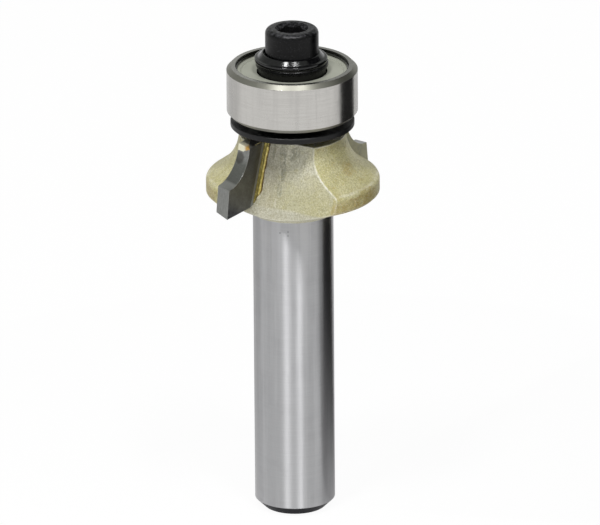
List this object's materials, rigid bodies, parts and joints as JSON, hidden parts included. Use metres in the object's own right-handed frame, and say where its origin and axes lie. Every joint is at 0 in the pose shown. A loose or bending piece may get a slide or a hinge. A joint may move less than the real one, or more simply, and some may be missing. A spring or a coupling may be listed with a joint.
{
  "type": "corner-rounding router bit",
  "caption": "Corner-rounding router bit with brazed carbide tips on a painted bell-shaped head, a straight round shank and a guide bearing held by a cap screw.",
  "frame": {"origin": "centre of the shank's end face, where the bit stands", "axes": "+Z along the shank to the bearing tip; the first carbide tip points along +X with its rake face looking along +Y"},
  "size_m": [0.0192, 0.0172, 0.0504],
  "materials": {
    "painted_steel": "speckled champagne metallic paint on the head, bare ground steel on the shank",
    "carbide": "ground tungsten carbide, dark grey",
    "braze": "brazing alloy, uneven golden seam",
    "black_screw": "black oxide",
    "black_washer": "glossy black oxide",
    "dark_disc": "dark grey phosphate",
    "ground_ring": "ground and polished",
    "cage_steel": "pressed",
    "shield_steel": "satin pressed sheet",
    "wire_steel": "bright drawn wire",
    "ball_steel": "polished"
  },
  "bodies": {
    "cutter": {"cutter_body": "painted_steel", "carbide_tip_1": "carbide", "carbide_tip_2": "carbide", "braze_seam_1": "braze", "braze_seam_2": "braze", "retaining_screw": "black_screw", "upper_washer": "black_washer", "lower_washer": "black_washer", "lower_shim": "black_washer", "upper_shim": "black_washer", "dust_disc": "dark_disc", "bearing_inner_ring": "ground_ring"},
    "outer_race": {"bearing_outer_ring": "ground_ring", "top_shield": "shield_steel", "bottom_shield": "shield_steel", "top_snap_ring": "wire_steel", "bottom_snap_ring": "wire_steel"},
    "cage": {"ball_cage": "cage_steel"},
    "rolling_ball_1": {"ball_1": "ball_steel"},
    "rolling_ball_2": {"ball_2": "ball_steel"},
    "rolling_ball_3": {"ball_3": "ball_steel"},
    "rolling_ball_4": {"ball_4": "ball_steel"},
    "rolling_ball_5": {"ball_5": "ball_steel"},
    "rolling_ball_6": {"ball_6": "ball_steel"},
    "rolling_ball_7": {"ball_7": "ball_steel"}
  },
  "joints": [
    {"name": "outer_ring_spin", "type": "hinge", "parent": "cutter", "child": "outer_race", "pos_m": [0, 0, 0.044], "axis": [0, 0, 1], "continuous": true},
    {"name": "cage_orbit", "type": "hinge", "parent": "cutter", "child": "cage", "pos_m": [0, 0, 0.044], "axis": [0, 0, 1], "continuous": true},
    {"name": "ball_1_roll", "type": "hinge", "parent": "cage", "child": "rolling_ball_1", "pos_m": [0.00425, 0, 0.044], "axis": [0, 0, 1], "continuous": true},
    {"name": "ball_2_roll", "type": "hinge", "parent": "cage", "child": "rolling_ball_2", "pos_m": [0.00265, 0.00332, 0.044], "axis": [0, 0, 1], "continuous": true},
    {"name": "ball_3_roll", "type": "hinge", "parent": "cage", "child": "rolling_ball_3", "pos_m": [-0.00095, 0.00414, 0.044], "axis": [0, 0, 1], "continuous": true},
    {"name": "ball_4_roll", "type": "hinge", "parent": "cage", "child": "rolling_ball_4", "pos_m": [-0.00383, 0.00184, 0.044], "axis": [0, 0, 1], "continuous": true},
    {"name": "ball_5_roll", "type": "hinge", "parent": "cage", "child": "rolling_ball_5", "pos_m": [-0.00383, -0.00184, 0.044], "axis": [0, 0, 1], "continuous": true},
    {"name": "ball_6_roll", "type": "hinge", "parent": "cage", "child": "rolling_ball_6", "pos_m": [-0.00095, -0.00414, 0.044], "axis": [0, 0, 1], "continuous": true},
    {"name": "ball_7_roll", "type": "hinge", "parent": "cage", "child": "rolling_ball_7", "pos_m": [0.00265, -0.00332, 0.044], "axis": [0, 0, 1], "continuous": true}
  ],
  "couplings": [
    {"joint": "cage_orbit", "follows": "outer_ring_spin", "ratio": 0.64006},
    {"joint": "ball_1_roll", "follows": "outer_ring_spin", "ratio": 1.6449},
    {"joint": "ball_2_roll", "follows": "outer_ring_spin", "ratio": 1.6449},
    {"joint": "ball_3_roll", "follows": "outer_ring_spin", "ratio": 1.6449},
    {"joint": "ball_4_roll", "follows": "outer_ring_spin", "ratio": 1.6449},
    {"joint": "ball_5_roll", "follows": "outer_ring_spin", "ratio": 1.6449},
    {"joint": "ball_6_roll", "follows": "outer_ring_spin", "ratio": 1.6449},
    {"joint": "ball_7_roll", "follows": "outer_ring_spin", "ratio": 1.6449}
  ]
}
